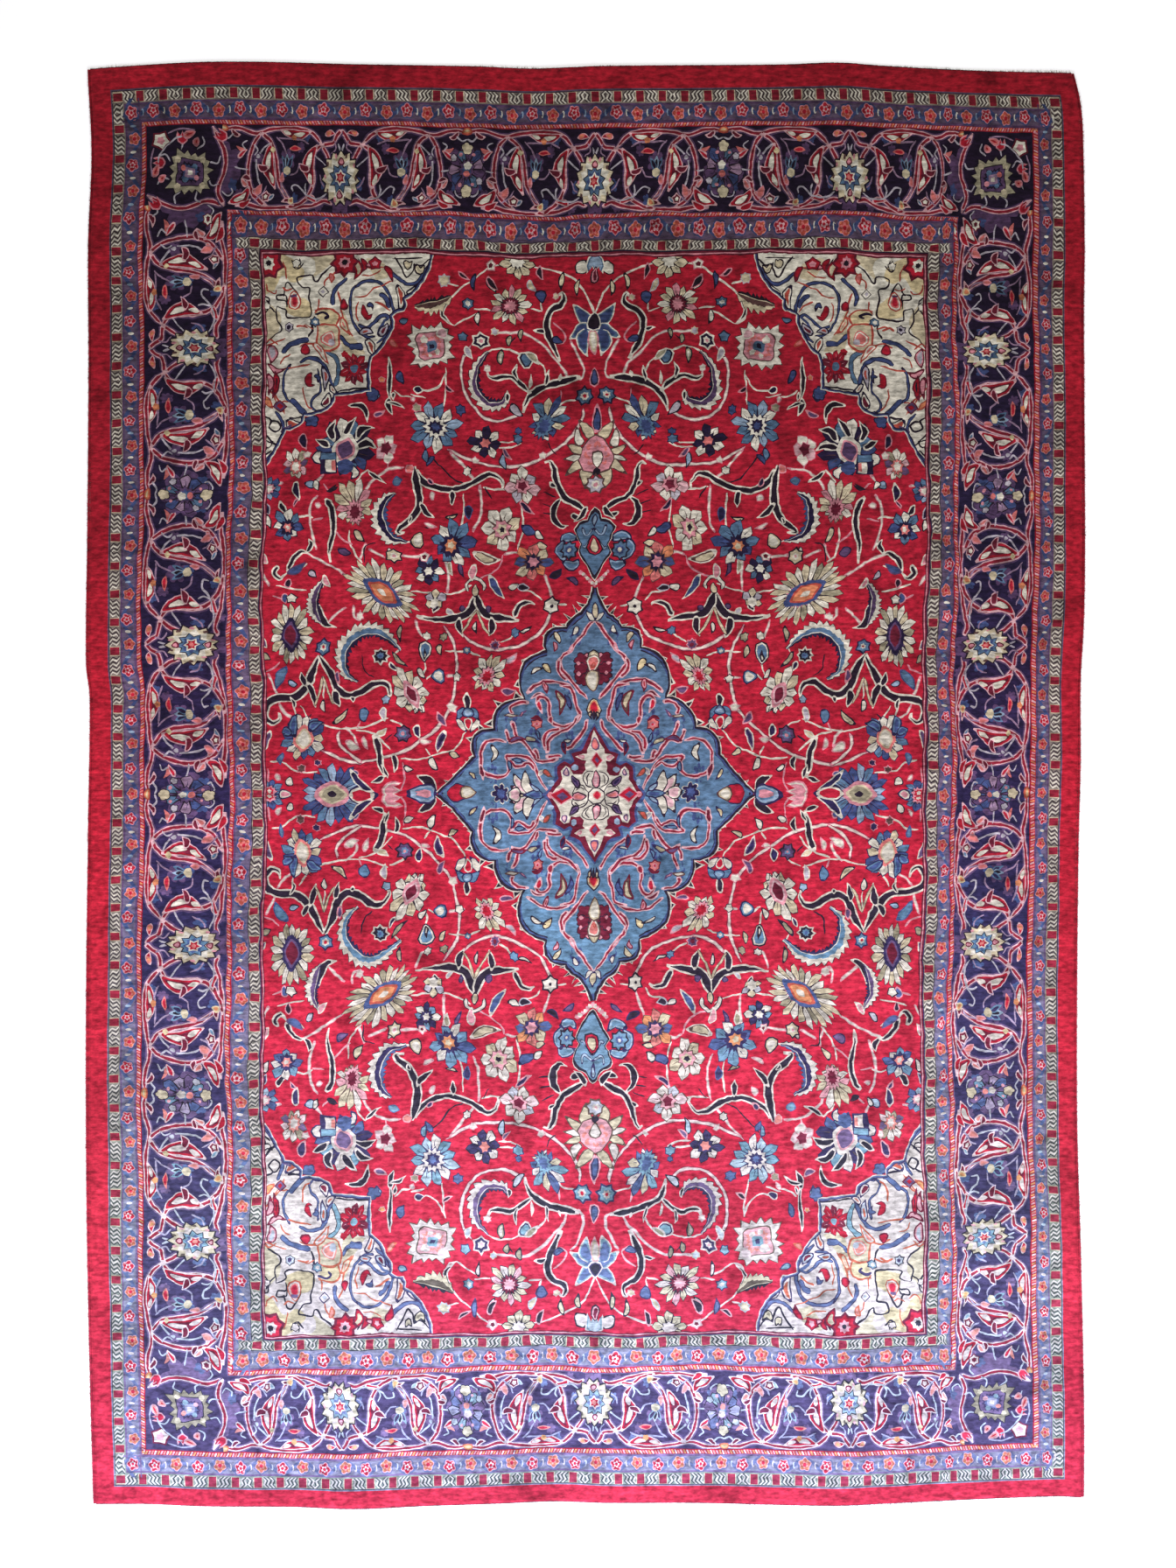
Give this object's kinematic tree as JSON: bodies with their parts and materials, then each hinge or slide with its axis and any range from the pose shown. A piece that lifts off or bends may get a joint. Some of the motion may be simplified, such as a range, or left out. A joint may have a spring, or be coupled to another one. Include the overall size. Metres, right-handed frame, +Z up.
{
  "type": "persian rug",
  "caption": "Flat hand-knotted wool rug with a plain outer band, overcast long edges and short cut warp ends. It lies pile up on a floor.",
  "frame": {"origin": "middle of the rug's box, on the floor that it lies on", "axes": "+X across the rug, +Y along it to the end at the top of the picture, +Z up out of the pile"},
  "size_m": [2.7144, 3.9426, 0.012],
  "materials": {
    "wool_pile": "cut wool pile, dyed red, navy, blue and ivory",
    "overcast_wool": "wrapped red wool",
    "cotton_warp": "undyed cotton ends"
  },
  "bodies": {
    "root": {"rug_body": "wool_pile", "selvedge_left": "overcast_wool", "selvedge_right": "overcast_wool", "warp_ends_top": "cotton_warp", "warp_ends_bottom": "cotton_warp"}
  },
  "joints": []
}
